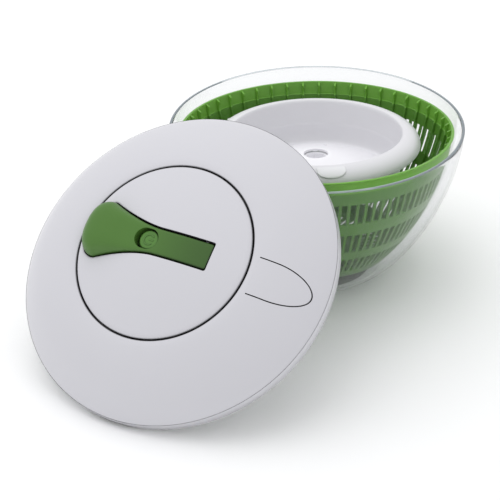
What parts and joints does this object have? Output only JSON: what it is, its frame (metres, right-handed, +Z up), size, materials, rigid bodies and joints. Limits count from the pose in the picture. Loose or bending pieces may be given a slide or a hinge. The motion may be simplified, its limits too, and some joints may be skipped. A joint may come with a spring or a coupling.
{
  "type": "salad spinner",
  "caption": "Hand-cranked salad spinner: clear bowl, slotted basket, inner dish and a domed lid with a fold-away crank handle, lid off and leaning on the bowl.",
  "frame": {"origin": "centre of the bowl's underside, on the worktop", "axes": "+Z up along the bowl's axis; the lid leans on the bowl on the -Y side, towards -X"},
  "size_m": [0.3774, 0.3988, 0.1737],
  "materials": {
    "clear_plastic": "clear, glossy",
    "green_plastic": "satin",
    "white_plastic": "glossy",
    "grey_rubber": "matte",
    "nylon": "matte",
    "steel": "satin"
  },
  "bodies": {
    "bowl": {"bowl": "clear_plastic", "bowl_centre_post": "clear_plastic", "nonslip_base_pad": "grey_rubber"},
    "rocker": {"basket_bearing_cup": "nylon"},
    "basket": {"basket": "green_plastic", "basket_column": "green_plastic", "drive_key": "green_plastic"},
    "dish": {"inner_dish": "white_plastic", "dish_hub_socket": "white_plastic", "dish_finger_tab": "white_plastic"},
    "lid": {"lid_shell": "white_plastic", "lid_under_cover": "white_plastic", "lid_seal_ring": "grey_rubber", "spindle_bush": "nylon", "cover_screw_1": "steel", "cover_screw_2": "steel", "cover_screw_3": "steel", "cover_screw_4": "steel", "cover_screw_5": "steel", "cover_screw_6": "steel", "planet_pin_1": "steel", "planet_pin_2": "steel", "planet_pin_3": "steel", "brake_pin": "steel"},
    "crank": {"crank_disc": "white_plastic", "ring_gear": "nylon", "ring_screw_1": "steel", "ring_screw_2": "steel", "ring_screw_3": "steel", "handle_hinge_pin": "steel"},
    "handle": {"handle": "green_plastic"},
    "button": {"handle_button": "green_plastic", "button_spring": "steel"},
    "planet_1": {"planet_gear_1": "nylon"},
    "planet_2": {"planet_gear_2": "nylon"},
    "planet_3": {"planet_gear_3": "nylon"},
    "sun": {"sun_gear": "nylon", "drive_spindle": "nylon"},
    "brake": {"brake_lever": "white_plastic", "brake_pad": "grey_rubber", "brake_spring": "steel"}
  },
  "joints": [
    {"name": "basket_rock", "type": "hinge", "parent": "bowl", "child": "rocker", "pos_m": [0, 0, 0.07742], "axis": [1, 0, 0], "range_deg": [0, 3.5]},
    {"name": "basket_spin", "type": "hinge", "parent": "rocker", "child": "basket", "pos_m": [0, 0, 0.07742], "axis": [0, 0.061, 0.9981], "continuous": true},
    {"name": "dish_lift", "type": "slide", "parent": "basket", "child": "dish", "axis": [0, 0.061, 0.9981], "range_m": [0, 0.02]},
    {"name": "lid_lift", "type": "slide", "parent": "bowl", "child": "lid", "axis": [0, 0, 1], "range_m": [0, 0.2]},
    {"name": "crank_spin", "type": "hinge", "parent": "lid", "child": "crank", "pos_m": [-0.117, -0.15002, 0.08261], "axis": [-0.3102, -0.5286, 0.7902], "continuous": true},
    {"name": "handle_fold", "type": "hinge", "parent": "crank", "child": "handle", "pos_m": [-0.09793, -0.18861, 0.11807], "axis": [0.3938, 0.685, 0.6129], "range_deg": [0, 95]},
    {"name": "handle_button_press", "type": "slide", "parent": "handle", "child": "button", "axis": [0.3102, 0.5286, -0.7902], "range_m": [0, 0.0025], "stiffness_N_per_m": 400},
    {"name": "planet_1_spin", "type": "hinge", "parent": "lid", "child": "planet_1", "pos_m": [-0.09388, -0.16175, 0.10535], "axis": [-0.3102, -0.5286, 0.7902], "continuous": true},
    {"name": "planet_2_spin", "type": "hinge", "parent": "lid", "child": "planet_2", "pos_m": [-0.13884, -0.1357, 0.10513], "axis": [-0.3102, -0.5286, 0.7902], "continuous": true},
    {"name": "planet_3_spin", "type": "hinge", "parent": "lid", "child": "planet_3", "pos_m": [-0.13409, -0.17955, 0.07766], "axis": [-0.3102, -0.5286, 0.7902], "continuous": true},
    {"name": "sun_spin", "type": "hinge", "parent": "lid", "child": "sun", "pos_m": [-0.117, -0.15002, 0.08261], "axis": [-0.3102, -0.5286, 0.7902], "continuous": true},
    {"name": "brake_press", "type": "hinge", "parent": "lid", "child": "brake", "pos_m": [-0.05142, -0.20819, 0.1055], "axis": [0.3938, 0.685, 0.6129], "range_deg": [0, 3.5], "stiffness_Nm_per_rad": 2}
  ],
  "couplings": [
    {"joint": "planet_1_spin", "follows": "crank_spin", "ratio": 3.5},
    {"joint": "planet_2_spin", "follows": "crank_spin", "ratio": 3.5},
    {"joint": "planet_3_spin", "follows": "crank_spin", "ratio": 3.5},
    {"joint": "sun_spin", "follows": "crank_spin", "ratio": -2.3333}
  ]
}
